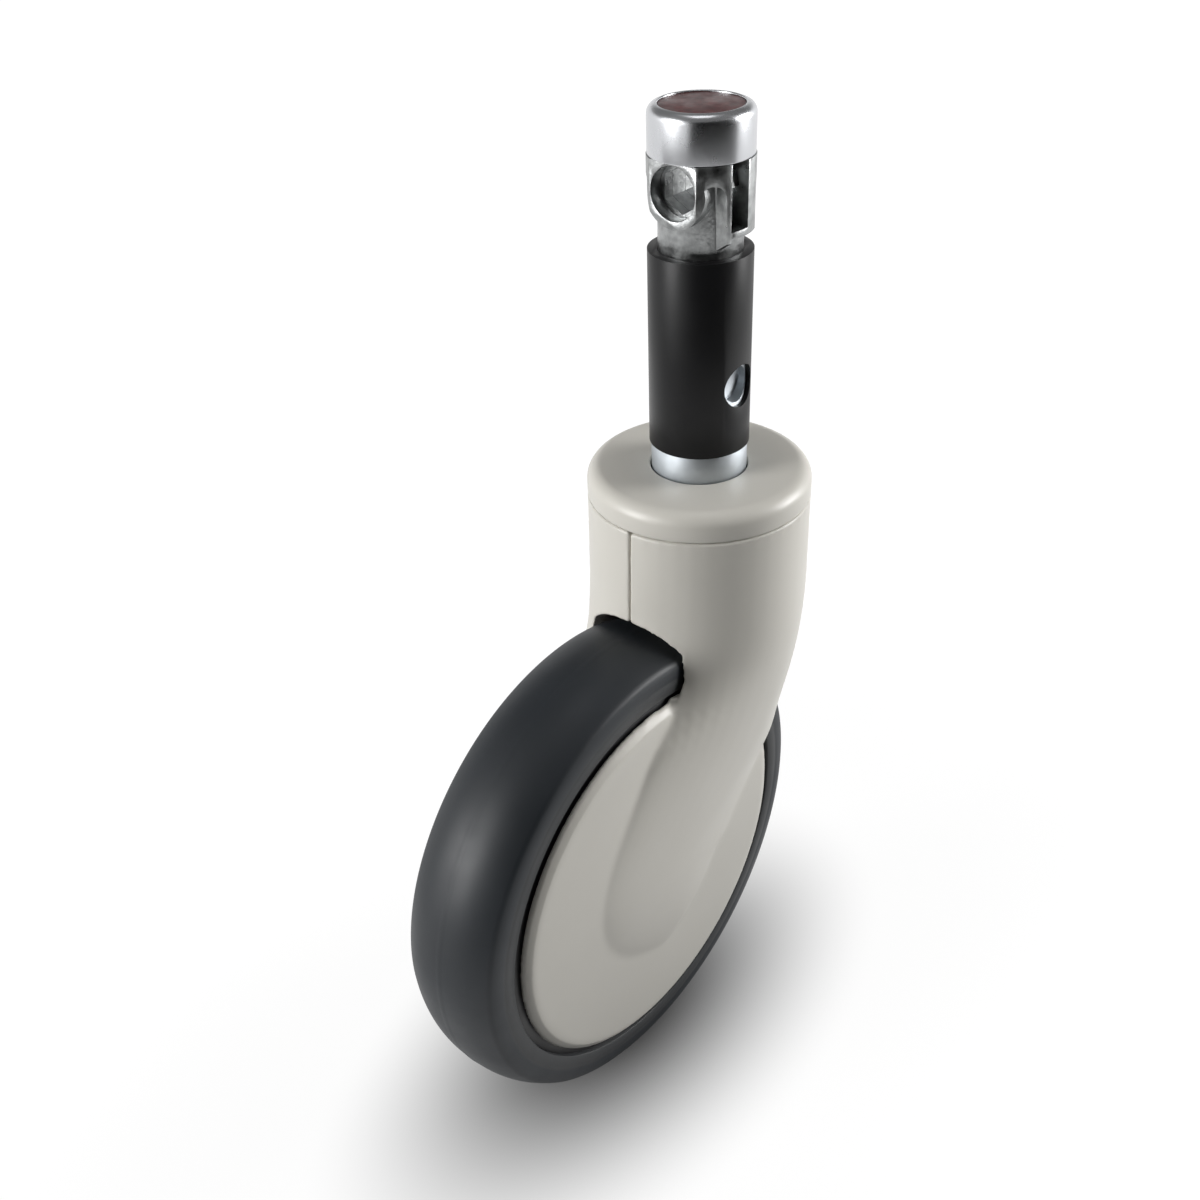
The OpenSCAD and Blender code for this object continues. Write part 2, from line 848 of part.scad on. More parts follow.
module wheel_room() {
    steps = 12;
    edge = well_half - 1.6;
    on_axle()
        rotate_extrude()
            polygon(concat(
                [[0, -cover_inner], [well_step_r, -cover_inner], [well_step_r, -well_half], [side_ring_r, -well_half]],
                [for (i = [0:steps]) let (y = blend(-edge, edge, i / steps)) [crown(y, well_r, edge, tread_drop + 1.6), y]],
                [[side_ring_r, well_half], [well_step_r, well_half], [well_step_r, cover_inner], [0, cover_inner]]
            ));
}

// Room for the bearing carrier and the brake lever inside the head
module head_room() {
    post(carrier_r + fit_gap, lock_ring_bottom - fit_gap, head_top);
    post(carrier_flange_r + fit_gap, carrier_flange_top - carrier_flange_h - fit_gap, carrier_flange_top + fit_gap);
    translate([chamber_front, -chamber_half, ledge_top])
        cube([chamber_back - chamber_front, 2 * chamber_half, lock_ring_bottom - ledge_top]);
    translate([chamber_front, -chamber_half, ledge_top - head_r])
        cube([ledge_front - chamber_front, 2 * chamber_half, head_r + eps]);
}

// Core pockets in the head's thick wall, open under the ring cap
module core_pockets() {
    inner = carrier_flange_r + 1.6;
    outer = spigot_ring_r - 2.6;
    for (start = [38, 98])
        rotate([0, 0, start])
            rotate_extrude(angle = 44)
                translate([inner, head_seam - 18])
                    square([outer - inner, 30]);
}

// One half of the fork on the side of positive Y. The screws enter through the far half.
module fork_half(far) {
    difference() {
        union() {
            difference() {
                union() {
                    leg_loft();
                    wheel_cover();
                    positive_y(4 * head_r)
                        post(spigot_ring_r, head_seam - seam_w - eps, spigot_ring_top);
                }
                wheel_room();
                head_room();
                core_pockets();
            }
            on_axle()
                post(axle_d / 2 + 3, boss_end, cover_inner + eps);
        }
        on_axle()
            post(axle_d / 2 + fit_gap, 0, axle_end + fit_gap);
        along_y(lever_arm, lever_z)
            post(lever_pin_d / 2 + fit_gap, 0, chamber_half + 4);
        for (s = screws)
            screw_hole(s, far);
        seam_notch();
    }
}

module screw_hole(s, far) {
    along_y(s[0], s[1]) {
        post(screw_r + fit_gap, 0, far ? head_r : -screw_end + 0.5);
        if (far)
            post(screw_head_r + 0.4, s[2], head_r + 10);
    }
}

// Small notch where the joint line meets the ring cap
module seam_notch() {
    translate([-head_r - 1, 0, head_seam])
        rotate([0, 90, 0])
            cylinder(r = 0.9, h = 3);
}

module fork_shell_left() {
    color(shell_grey)
        fork_half(true);
}

module fork_shell_right() {
    color(shell_grey)
        mirror([0, 1, 0])
            fork_half(false);
}

module head_cap() {
    inner_top = spigot_ring_top + slide_gap;
    color(shell_grey)
    difference() {
        rotate_extrude()
            polygon(concat(
                [[0, head_seam], [head_r, head_seam]],
                arc([head_r - head_cap_round, head_top - head_cap_round], head_cap_round, 0, 90, 8),
                [[0, head_top]]
            ));
        post(spigot_ring_r + 2 * fit_gap, head_seam - eps, inner_top);
        post(carrier_r + 2, head_seam - eps, seal_top);
        post(collar_r + slide_gap + 0.1, head_seam, head_top + eps);
    }
}

module dust_seal() {
    color(black_plastic)
        tube(carrier_r, collar_r + slide_gap, bearing_top, seal_top);
}

module bearing_carrier() {
    color(cast_zinc)
    difference() {
        union() {
            post(carrier_r, lock_ring_top, bearing_top);
            post(carrier_flange_r, carrier_flange_top - carrier_flange_h, carrier_flange_top);
        }
        post(swivel_od / 2 + fit_gap, bearing_bottom, bearing_top + eps);
        post(swivel_od / 2 - 2, lock_ring_top - eps, bearing_bottom + eps);
        post(lock_tip_r + 1.2, lock_ring_top - eps, bearing_bottom - carrier_lip);
    }
}

module swivel_lock_ring() {
    color(plated_steel)
    difference() {
        post(carrier_r, lock_ring_bottom, lock_ring_top);
        translate([0, 0, lock_ring_bottom - eps])
            linear_extrude(lock_t + 2 * eps + 0.2)
                toothed(lock_ring_root_r, lock_ring_tip_r, 1 - lock_share);
    }
}

module swivel_outer_ring_upper() {
    color(plated_steel)
    translate([0, 0, bearing_top - swivel_w])
        outer_ring(swivel_bore, swivel_od, swivel_w);
}

module swivel_outer_ring_lower() {
    color(plated_steel)
    translate([0, 0, bearing_bottom])
        outer_ring(swivel_bore, swivel_od, swivel_w);
}

module swivel_spacer_outer() {
    color(plated_steel)
        tube(swivel_od / 2, swivel_od / 2 - 1.6, lower_bearing_top, bearing_top - swivel_w);
}

module swivel_balls_upper() {
    color(polished)
    translate([0, 0, bearing_top - swivel_w])
        ball_set(swivel_bore, swivel_od, swivel_w);
}

module swivel_balls_lower() {
    color(polished)
    translate([0, 0, bearing_bottom])
        ball_set(swivel_bore, swivel_od, swivel_w);
}

module shell_screws() {
    color(plated_steel)
    for (s = screws)
        along_y(s[0], s[1])
            difference() {
                union() {
                    post(screw_r, screw_end, s[2] + eps);
                    post(screw_head_r, s[2], s[2] + screw_head_h);
                }
                hex_post(3, s[2] + 1, s[2] + screw_head_h + eps);
            }
}

module lever_pin() {
    color(plated_steel)
    along_y(lever_arm, lever_z)
        post(lever_pin_d / 2, -chamber_half - 3.8, chamber_half + 3.8);
}

module wheel_axle() {
    color(plated_steel)
    on_axle()
        post(axle_d / 2, -axle_end, axle_end);
}

module axle_spacer() {
    color(plated_steel)
    on_axle()
        tube(axle_d / 2 + 2, axle_d / 2 + fit_gap, hub_w - hub_half, hub_half - hub_w);
}

module wheel_inner_ring_left() {
    color(plated_steel)
    on_axle()
        translate([0, 0, hub_half - hub_w])
            inner_ring(axle_d + 2 * fit_gap, hub_od, hub_w);
}

module wheel_inner_ring_right() {
    color(plated_steel)
    on_axle()
        translate([0, 0, -hub_half])
            inner_ring(axle_d + 2 * fit_gap, hub_od, hub_w);
}

// Brake

// The tread with the shoe's gap, seen from the lever when the brake is on
module tread_when_locked() {
    translate([lever_arm, 0, lever_z])
        rotate([0, lever_turn, 0])
            translate([-lever_arm, 0, -lever_z])
                on_axle()
                    post(wheel_r + shoe_gap, -lever_w, lever_w);
}

module brake_lever() {
    color(cast_zinc)
    difference() {
        union() {
            translate([lever_front, -lever_w / 2, lever_top - lever_t])
                cube([lever_arm - lever_front, lever_w, lever_t]);
            along_y(lever_arm, lever_z)
                post(lever_hub_r, -lever_w / 2, lever_w / 2);
        }
        along_y(lever_arm, lever_z)
            post(lever_pin_d / 2 + fit_gap, -lever_w, lever_w);
        tread_when_locked();
    }
}

module brake_shoe() {
    color(black_plastic)
    difference() {
        translate([shoe_front, -shoe_w / 2, axle_z])
            cube([shoe_back - shoe_front, shoe_w, lever_top - lever_t - axle_z]);
        tread_when_locked();
    }
}

module lever_spring() {
    color(plated_steel)
    translate([lever_spring_x, 0, 0])
        coil(lever_spring_r, lever_spring_wire / 2, ledge_top + 0.05, lever_top - lever_t - 0.05,
            lever_spring_turns, 12, 6);
}

// Wheel

module wheel_rim() {
    bore = hub_od / 2 + fit_gap;
    color(core_grey)
    union() {
        on_axle()
            rotate_extrude()
                polygon([
                    [bore, -hub_half], [hub_r, -hub_half], [hub_r, -web_half],
                    [tyre_seat_r - rim_band, -web_half], [tyre_seat_r - rim_band, -rim_half],
                    [tyre_seat_r, -rim_half], [tyre_seat_r, rim_half],
                    [tyre_seat_r - rim_band, rim_half], [tyre_seat_r - rim_band, web_half],
                    [hub_r, web_half], [hub_r, hub_half], [bore, hub_half],
                    [bore, hub_half - hub_w], [bore - 2, hub_half - hub_w],
                    [bore - 2, hub_w - hub_half], [bore, hub_w - hub_half]
                ]);
        rim_rib_set();
    }
}

// Radial ribs on both sides of the rim's web
module rim_rib_set() {
    rib_t = 3;
    rib_half = hub_half - 1;
    on_axle()
        for (i = [0:rim_ribs - 1])
            rotate([0, 0, 360 * i / rim_ribs])
                translate([hub_r - 1, -rib_t / 2, -rib_half])
                    cube([tyre_seat_r - rim_band - hub_r + 2, rib_t, 2 * rib_half]);
}

module tyre() {
    steps = 12;
    edge_drop = tread_drop + 1.7;
    edge_soft = 0.35;
    color(rubber_grey)
    on_axle()
        rotate_extrude()
            polygon(concat(
                [[tyre_seat_r + fit_gap, -tread_half], [side_ring_r, -tread_half],
                    [wheel_r - edge_drop, edge_soft - tread_half]],
                [for (i = [0:steps]) let (y = blend(-shoulder_half, shoulder_half, i / steps))
                    [crown(y, wheel_r, shoulder_half, tread_drop), y]],
                [[wheel_r - edge_drop, tread_half - edge_soft], [side_ring_r, tread_half],
                    [tyre_seat_r + fit_gap, tread_half]]
            ));
}

module wheel_outer_ring_left() {
    color(plated_steel)
    on_axle()
        translate([0, 0, hub_half - hub_w])
            outer_ring(axle_d + 2 * fit_gap, hub_od, hub_w);
}

module wheel_outer_ring_right() {
    color(plated_steel)
    on_axle()
        translate([0, 0, -hub_half])
            outer_ring(axle_d + 2 * fit_gap, hub_od, hub_w);
}

module wheel_balls_left() {
    color(polished)
    on_axle()
        translate([0, 0, hub_half - hub_w])
            ball_set(axle_d + 2 * fit_gap, hub_od, hub_w);
}

module wheel_balls_right() {
    color(polished)
    on_axle()
        translate([0, 0, -hub_half])
            ball_set(axle_d + 2 * fit_gap, hub_od, hub_w);
}

stem_tube();
stem_sleeve();
cam_housing();
housing_pin();
top_cap();
cap_disc();
cam_retainer();
swivel_inner_ring_upper();
swivel_inner_ring_lower();
swivel_spacer_inner();
stem_circlip();
cam_plate();
cam_bush_front();
cam_bush_rear();
push_rod();
cam_follower();
swivel_lock_disc();
rod_nut();
return_spring();
fork_shell_left();
fork_shell_right();
head_cap();
dust_seal();
bearing_carrier();
swivel_lock_ring();
swivel_outer_ring_upper();
swivel_outer_ring_lower();
swivel_spacer_outer();
swivel_balls_upper();
swivel_balls_lower();
shell_screws();
lever_pin();
wheel_axle();
axle_spacer();
wheel_inner_ring_left();
wheel_inner_ring_right();
brake_lever();
brake_shoe();
lever_spring();
wheel_rim();
tyre();
wheel_outer_ring_left();
wheel_outer_ring_right();
wheel_balls_left();
wheel_balls_right();
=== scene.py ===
"""Looks of a total lock castor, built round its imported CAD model."""

import json
import math

import bmesh
import bpy
from bpy.props import FloatProperty, FloatVectorProperty, IntProperty, PointerProperty
from mathutils import Matrix, Vector


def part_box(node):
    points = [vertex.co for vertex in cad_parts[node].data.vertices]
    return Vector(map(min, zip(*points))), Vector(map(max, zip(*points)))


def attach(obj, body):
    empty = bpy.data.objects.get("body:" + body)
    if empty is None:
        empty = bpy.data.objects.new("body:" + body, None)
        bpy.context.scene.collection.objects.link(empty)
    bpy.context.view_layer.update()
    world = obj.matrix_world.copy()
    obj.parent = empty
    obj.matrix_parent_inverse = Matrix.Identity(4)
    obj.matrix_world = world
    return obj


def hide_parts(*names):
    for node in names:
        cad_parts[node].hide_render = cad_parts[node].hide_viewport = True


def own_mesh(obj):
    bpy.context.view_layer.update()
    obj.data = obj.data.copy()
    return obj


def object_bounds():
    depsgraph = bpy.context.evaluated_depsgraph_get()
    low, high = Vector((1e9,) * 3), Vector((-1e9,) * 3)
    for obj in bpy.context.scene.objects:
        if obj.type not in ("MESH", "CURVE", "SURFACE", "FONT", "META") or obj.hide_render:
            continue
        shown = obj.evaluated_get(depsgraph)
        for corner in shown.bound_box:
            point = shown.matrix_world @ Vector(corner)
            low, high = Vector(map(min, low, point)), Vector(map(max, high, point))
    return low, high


bl_info = {
    "name": "Total Lock Castor",
    "version": (1, 0, 0),
    "blender": (4, 5, 0),
    "location": "View3D > Sidebar > Castor",
    "description": "Dresses the CAD model of a stem castor with finished surfaces and a studio",
    "category": "Object",
}

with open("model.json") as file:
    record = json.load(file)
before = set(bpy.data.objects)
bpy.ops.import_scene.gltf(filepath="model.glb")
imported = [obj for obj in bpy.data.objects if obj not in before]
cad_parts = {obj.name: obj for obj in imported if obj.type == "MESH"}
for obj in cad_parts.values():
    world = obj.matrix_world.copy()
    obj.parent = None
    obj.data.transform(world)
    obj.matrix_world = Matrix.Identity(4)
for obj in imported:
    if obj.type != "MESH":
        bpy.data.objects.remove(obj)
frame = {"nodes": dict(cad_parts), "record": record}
CAD_BOX = [list(corner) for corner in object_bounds()]
MM = 0.001
Y_AXIS = Vector((0.0, 1.0, 0.0))
Z_AXIS = Vector((0.0, 0.0, 1.0))

# Places that the CAD model gives
AXLE = Vector((-44.0, 0.0, -123.75)) * MM
WHEEL_R = 75.0 * MM
FLOOR_Z = CAD_BOX[0][2]
HEAD_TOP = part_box("head_cap")[1].z
HEAD_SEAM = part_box("head_cap")[0].z
HEAD_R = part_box("head_cap")[1].y
CAP_LOW, CAP_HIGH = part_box("top_cap")
DISC_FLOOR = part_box("cap_disc")[0].z


class CastorSizes(bpy.types.PropertyGroup):
    """Sizes of the finish on the castor's parts."""

    shell_voxel: FloatProperty(
        name="Shell grid",
        description="Grid size of the moulded halves' skin",
        default=0.48 * MM,
        unit="LENGTH",
    )
    shell_fairing: FloatProperty(
        name="Shell fairing",
        description="Reach of the smoothing of the moulded halves between their edges",
        default=3.4 * MM,
        unit="LENGTH",
    )
    lip_round: FloatProperty(
        name="Lip rounding",
        description="Reach of the rounding of the moulded halves' thin lip behind the tyre",
        default=3.0 * MM,
        unit="LENGTH",
    )
    shell_faces: IntProperty(
        name="Shell faces",
        description="Triangles of one moulded half",
        default=180000,
        min=20000,
    )
    shell_blend: FloatProperty(
        name="Leg blend",
        description="Reach of the fillet where a leg runs into its wheel cover",
        default=2.0 * MM,
        unit="LENGTH",
    )
    edge_break: FloatProperty(
        name="Edge break",
        description="Width of the broken edges on turned and cast parts",
        default=0.22 * MM,
        unit="LENGTH",
    )
    mould_line: FloatProperty(
        name="Mould line",
        description="Height of the mould line round the tread",
        default=0.12 * MM,
        unit="LENGTH",
    )
    turn_steps: IntProperty(
        name="Turning steps",
        description="Steps of one full turn of the round pieces",
        default=160,
        min=24,
    )


class CastorColours(bpy.types.PropertyGroup):
    """Colours of the castor's finishes."""

    shell: FloatVectorProperty(
        name="Moulded shells",
        description="Warm light grey of the fork and its cap",
        subtype="COLOR",
        default=(0.66, 0.64, 0.585),
    )
    tyre: FloatVectorProperty(
        name="Tyre",
        description="Dark grey of the rubber",
        subtype="COLOR",
        default=(0.015, 0.018, 0.022),
    )
    # Painted highlight: the flat ring on the tyre's side is painted paler than the rubber, as if it
    # caught the light.
    tyre_ring_highlight: FloatVectorProperty(
        name="Tyre side",
        description="Paler grey of the ring on the tyre's side",
        subtype="COLOR",
        default=(0.034, 0.036, 0.038),
    )
    sleeve: FloatVectorProperty(
        name="Sleeve",
        description="Black of the stem's sleeve",
        subtype="COLOR",
        default=(0.006, 0.006, 0.0065),
    )
    zinc: FloatVectorProperty(
        name="Cast zinc",
        description="Grey of the cam housing",
        subtype="COLOR",
        default=(0.40, 0.41, 0.41),
    )
    steel: FloatVectorProperty(
        name="Plated steel",
        description="Bluish grey of the turned parts",
        subtype="COLOR",
        default=(0.53, 0.565, 0.595),
    )
    polish: FloatVectorProperty(
        name="Polished cap",
        description="Bright grey of the cap",
        subtype="COLOR",
        default=(0.62, 0.63, 0.65),
    )
    disc: FloatVectorProperty(
        name="Cap disc",
        description="Dark red of the disc in the cap",
        subtype="COLOR",
        default=(0.115, 0.020, 0.019),
    )
    # Painted shade: the wheel's core is near black so that the groove between the wheel cover and
    # the tyre, where it shows, looks as dark as shade.
    rim: FloatVectorProperty(
        name="Rim",
        description="Grey of the wheel's core",
        subtype="COLOR",
        default=(0.022, 0.022, 0.023),
    )


# Shader node groups that several finishes share


def new_group(name, inputs, outputs):
    """An empty shader group with float inputs given as name to default, and float outputs."""
    group = bpy.data.node_groups.new(name, "ShaderNodeTree")
    for label, value in inputs.items():
        socket = group.interface.new_socket(
            name=label, in_out="INPUT", socket_type="NodeSocketFloat"
        )
        socket.default_value = value
    for label in outputs:
        group.interface.new_socket(name=label, in_out="OUTPUT", socket_type="NodeSocketFloat")
    return group, group.nodes.new("NodeGroupInput"), group.nodes.new("NodeGroupOutput")


def operation(nodes, kind, name):
    """A Math or Vector Math node set to an operation."""
    node = nodes.new(f"ShaderNode{kind}")
    node.operation = name
    return node


def grain_group():
    """Fine moulded or cast grain as a height."""
    name = "Surface grain"
    if name in bpy.data.node_groups:
        return bpy.data.node_groups[name]
    group, given, result = new_group(name, {"Scale": 1500.0, "Coarse share": 0.3}, ["Height"])
    nodes, link = group.nodes, group.links.new
    place = nodes.new("ShaderNodeTexCoord")
    fine = nodes.new("ShaderNodeTexNoise")
    fine.inputs["Detail"].default_value = 3.0
    coarse_scale = operation(nodes, "Math", "MULTIPLY")
    coarse_scale.inputs[1].default_value = 0.13
    coarse = nodes.new("ShaderNodeTexNoise")
    coarse.inputs["Detail"].default_value = 2.0
    mix = nodes.new("ShaderNodeMix")
    link(place.outputs["Object"], fine.inputs["Vector"])
    link(place.outputs["Object"], coarse.inputs["Vector"])
    link(given.outputs["Scale"], fine.inputs["Scale"])
    link(given.outputs["Scale"], coarse_scale.inputs[0])
    link(coarse_scale.outputs[0], coarse.inputs["Scale"])
    link(given.outputs["Coarse share"], mix.inputs["Factor"])
    link(fine.outputs["Fac"], mix.inputs["A"])
    link(coarse.outputs["Fac"], mix.inputs["B"])
    link(mix.outputs["Result"], result.inputs["Height"])
    return group


def drift_group():
    """Slow drift over a surface between two values."""
    name = "Surface drift"
    if name in bpy.data.node_groups:
        return bpy.data.node_groups[name]
    group, given, result = new_group(name, {"Scale": 40.0, "Low": 0.0, "High": 1.0}, ["Value"])
    nodes, link = group.nodes, group.links.new
    place = nodes.new("ShaderNodeTexCoord")
    noise = nodes.new("ShaderNodeTexNoise")
    noise.inputs["Detail"].default_value = 4.0
    spread = nodes.new("ShaderNodeMapRange")
    spread.inputs["From Min"].default_value = 0.32
    spread.inputs["From Max"].default_value = 0.68
    link(place.outputs["Object"], noise.inputs["Vector"])
    link(given.outputs["Scale"], noise.inputs["Scale"])
    link(noise.outputs["Fac"], spread.inputs["Value"])
    link(given.outputs["Low"], spread.inputs["To Min"])
    link(given.outputs["High"], spread.inputs["To Max"])
    link(spread.outputs["Result"], result.inputs["Value"])
    return group


def lathe_group():
    """Fine lines left by turning about the Z axis, as a height."""
    name = "Turning lines"
    if name in bpy.data.node_groups:
        return bpy.data.node_groups[name]
    group, given, result = new_group(name, {"Lines per metre": 6000.0}, ["Height"])
    nodes, link = group.nodes, group.links.new
    place = nodes.new("ShaderNodeTexCoord")
    split = nodes.new("ShaderNodeSeparateXYZ")
    scale = operation(nodes, "Math", "MULTIPLY")
    noise = nodes.new("ShaderNodeTexNoise")
    noise.noise_dimensions = "1D"
    noise.inputs["Detail"].default_value = 3.0
    noise.inputs["Scale"].default_value = 1.0
    link(place.outputs["Object"], split.inputs[0])
    link(split.outputs["Z"], scale.inputs[0])
    link(given.outputs["Lines per metre"], scale.inputs[1])
    link(scale.outputs[0], noise.inputs["W"])
    link(noise.outputs["Fac"], result.inputs["Height"])
    return group


def ring_group():
    """One inside a ring about the wheel's axle, and zero outside it."""
    name = "Axle ring"
    if name in bpy.data.node_groups:
        return bpy.data.node_groups[name]
    defaults = {"Inner": 60.0 * MM, "Outer": 66.0 * MM, "Soft": 0.6 * MM}
    group, given, result = new_group(name, defaults, ["Mask"])
    nodes, link = group.nodes, group.links.new
    place = nodes.new("ShaderNodeTexCoord")
    shift = operation(nodes, "VectorMath", "SUBTRACT")
    shift.inputs[1].default_value = AXLE
    flat = operation(nodes, "VectorMath", "MULTIPLY")
    flat.inputs[1].default_value = (1.0, 0.0, 1.0)
    reach = operation(nodes, "VectorMath", "LENGTH")
    both = operation(nodes, "Math", "MULTIPLY")
    link(place.outputs["Object"], shift.inputs[0])
    link(shift.outputs["Vector"], flat.inputs[0])
    link(flat.outputs["Vector"], reach.inputs[0])
    for i, (label, sign) in enumerate((("Inner", 1.0), ("Outer", -1.0))):
        past = operation(nodes, "Math", "SUBTRACT")
        ramp = operation(nodes, "Math", "DIVIDE")
        step = nodes.new("ShaderNodeMapRange")
        step.interpolation_type = "SMOOTHSTEP"
        step.inputs["From Min"].default_value = -sign
        step.inputs["From Max"].default_value = sign
        link(reach.outputs["Value"], past.inputs[0])
        link(given.outputs[label], past.inputs[1])
        link(past.outputs[0], ramp.inputs[0])
        link(given.outputs["Soft"], ramp.inputs[1])
        link(ramp.outputs[0], step.inputs["Value"])
        link(step.outputs["Result"], both.inputs[i])
    link(both.outputs[0], result.inputs["Mask"])
    return group


class Finish:
    """A material under construction, with its Principled shader and the shared effects."""

    def __init__(self, name, metallic=0.0, specular=0.5):
        self.material = bpy.data.materials.new(name)
        self.material.use_nodes = True
        self.nodes = self.material.node_tree.nodes
        self.link = self.material.node_tree.links.new
        self.shader = self.nodes["Principled BSDF"]
        self.shader.inputs["Metallic"].default_value = metallic
        self.shader.inputs["Specular IOR Level"].default_value = specular

    def group(self, tree, **values):
        """A shared effect with its own values."""
        node = self.nodes.new("ShaderNodeGroup")
        node.node_tree = tree
        for label, value in values.items():
            node.inputs[label.replace("_", " ")].default_value = value
        return node

    def colour(self, base, second, scale):
        """Base colour that drifts between two tones."""
        drift = self.group(drift_group(), Scale=scale)
        mix = self.nodes.new("ShaderNodeMix")
        mix.data_type = "RGBA"
        mix.inputs["A"].default_value = (*base, 1.0)
        mix.inputs["B"].default_value = (*second, 1.0)
        self.link(drift.outputs["Value"], mix.inputs["Factor"])
        self.link(mix.outputs["Result"], self.shader.inputs["Base Color"])
        return mix

    def ring(self, under, paint, inner, outer, soft):
        """A ring about the axle in a paler colour over the base colour: a painted highlight."""
        ring = self.group(ring_group(), Inner=inner, Outer=outer, Soft=soft)
        mix = self.nodes.new("ShaderNodeMix")
        mix.data_type = "RGBA"
        mix.inputs["B"].default_value = (*paint, 1.0)
        self.link(under.outputs["Result"], mix.inputs["A"])
        self.link(ring.outputs["Mask"], mix.inputs["Factor"])
        self.link(mix.outputs["Result"], self.shader.inputs["Base Color"])

    def roughness(self, low, high, scale):
        """Roughness that drifts between two values."""
        drift = self.group(drift_group(), Scale=scale, Low=low, High=high)
        self.link(drift.outputs["Value"], self.shader.inputs["Roughness"])

    def bump(self, height, strength, distance):
        """A bump over those already there."""
        bump = self.nodes.new("ShaderNodeBump")
        bump.inputs["Strength"].default_value = strength
        bump.inputs["Distance"].default_value = distance
        self.link(height, bump.inputs["Height"])
        last = self.shader.inputs["Normal"]
        if last.is_linked:
            self.link(last.links[0].from_socket, bump.inputs["Normal"])
        self.link(bump.outputs["Normal"], last)

    def grain(self, scale, share, strength, distance):
        """Moulded or cast grain."""
        node = self.group(grain_group(), Scale=scale, Coarse_share=share)
        self.bump(node.outputs["Height"], strength, distance)

    def lathe(self, lines, strength, distance):
        """Lines left by turning."""
        node = self.group(lathe_group(), Lines_per_metre=lines)
        self.bump(node.outputs["Height"], strength, distance)


def tone(colour, factor):
    """A colour made darker or lighter."""
    return tuple(min(1.0, channel * factor) for channel in colour)


def colours():
    return bpy.context.scene.castor_colours


def sizes():
    return bpy.context.scene.castor_sizes


# Finish of each material slot. The base is the name of a colour property or a fixed colour. It
# drifts to a second colour, or to its own tone, and the drift is the scale of that noise.
LOOKS = {
    "shell": {
        "name": "Moulded shell",
        "base": "shell",
        "tone": 0.965,
        "drift": 22.0,
        "roughness": {"low": 0.36, "high": 0.44, "scale": 60.0},
        "grain": {"scale": 2600.0, "share": 0.25, "strength": 0.10, "distance": 0.06 * MM},
    },
    "tyre": {
        "name": "Tyre rubber",
        "shader": {"specular": 0.38},
        "base": "tyre",
        "tone": 1.25,
        "drift": 30.0,
        # Painted highlight: a paler ring on the tyre's side, as if it were lit.
        "ring": {"inner": 61.0 * MM, "outer": 66.1 * MM, "soft": 0.5 * MM},
        "roughness": {"low": 0.44, "high": 0.56, "scale": 45.0},
        "grain": {"scale": 1900.0, "share": 0.45, "strength": 0.22, "distance": 0.12 * MM},
    },
    "sleeve": {
        "name": "Sleeve black",
        "shader": {"specular": 0.22},
        "base": "sleeve",
        "tone": 1.5,
        "drift": 35.0,
        "roughness": {"low": 0.34, "high": 0.42, "scale": 50.0},
        "grain": {"scale": 2400.0, "share": 0.35, "strength": 0.12, "distance": 0.08 * MM},
    },
    "zinc": {
        "name": "Cast zinc",
        "shader": {"metallic": 1.0},
        "base": "zinc",
        "tone": 0.62,
        "drift": 420.0,
        "roughness": {"low": 0.27, "high": 0.47, "scale": 260.0},
        "grain": {"scale": 1050.0, "share": 0.45, "strength": 0.5, "distance": 0.28 * MM},
    },
    "steel": {
        "name": "Plated steel",
        "shader": {"metallic": 1.0},
        "base": "steel",
        "tone": 0.86,
        "drift": 160.0,
        "roughness": {"low": 0.46, "high": 0.60, "scale": 90.0},
        "lathe": {"lines": 5200.0, "strength": 0.16, "distance": 0.08 * MM},
        "grain": {"scale": 1800.0, "share": 0.5, "strength": 0.12, "distance": 0.1 * MM},
    },
    "cap": {
        "name": "Polished cap",
        "shader": {"metallic": 1.0},
        "base": "polish",
        "tone": 0.92,
        "drift": 60.0,
        "roughness": {"low": 0.24, "high": 0.32, "scale": 80.0},
        "lathe": {"lines": 7000.0, "strength": 0.10, "distance": 0.06 * MM},
    },
    "disc": {
        "name": "Disc red",
        "shader": {"specular": 0.3},
        "base": "disc",
        "tone": 0.45,
        "drift": 420.0,
        "roughness": {"low": 0.30, "high": 0.46, "scale": 300.0},
        "grain": {"scale": 2200.0, "share": 0.5, "strength": 0.2, "distance": 0.08 * MM},
    },
    # Painted shade: the near black core darkens the groove between the wheel cover and the tyre.
    "rim": {
        "name": "Rim plastic",
        "base": "rim",
        "tone": 0.85,
        "drift": 40.0,
        "roughness": {"low": 0.45, "high": 0.55, "scale": 60.0},
        "grain": {"scale": 2000.0, "share": 0.3, "strength": 0.15, "distance": 0.1 * MM},
    },
    "seal": {
        "name": "Seal rubber",
        "base": (0.014, 0.014, 0.014),
        "second": (0.02, 0.02, 0.02),
        "drift": 60.0,
        "roughness": {"low": 0.5, "high": 0.62, "scale": 70.0},
        "grain": {"scale": 1700.0, "share": 0.4, "strength": 0.2, "distance": 0.1 * MM},
    },
    "bearing": {
        "name": "Ground steel",
        "shader": {"metallic": 1.0},
        "base": (0.62, 0.62, 0.62),
        "second": (0.55, 0.55, 0.56),
        "drift": 90.0,
        "roughness": {"low": 0.14, "high": 0.22, "scale": 120.0},
        "grain": {"scale": 2600.0, "share": 0.2, "strength": 0.05, "distance": 0.05 * MM},
    },
}


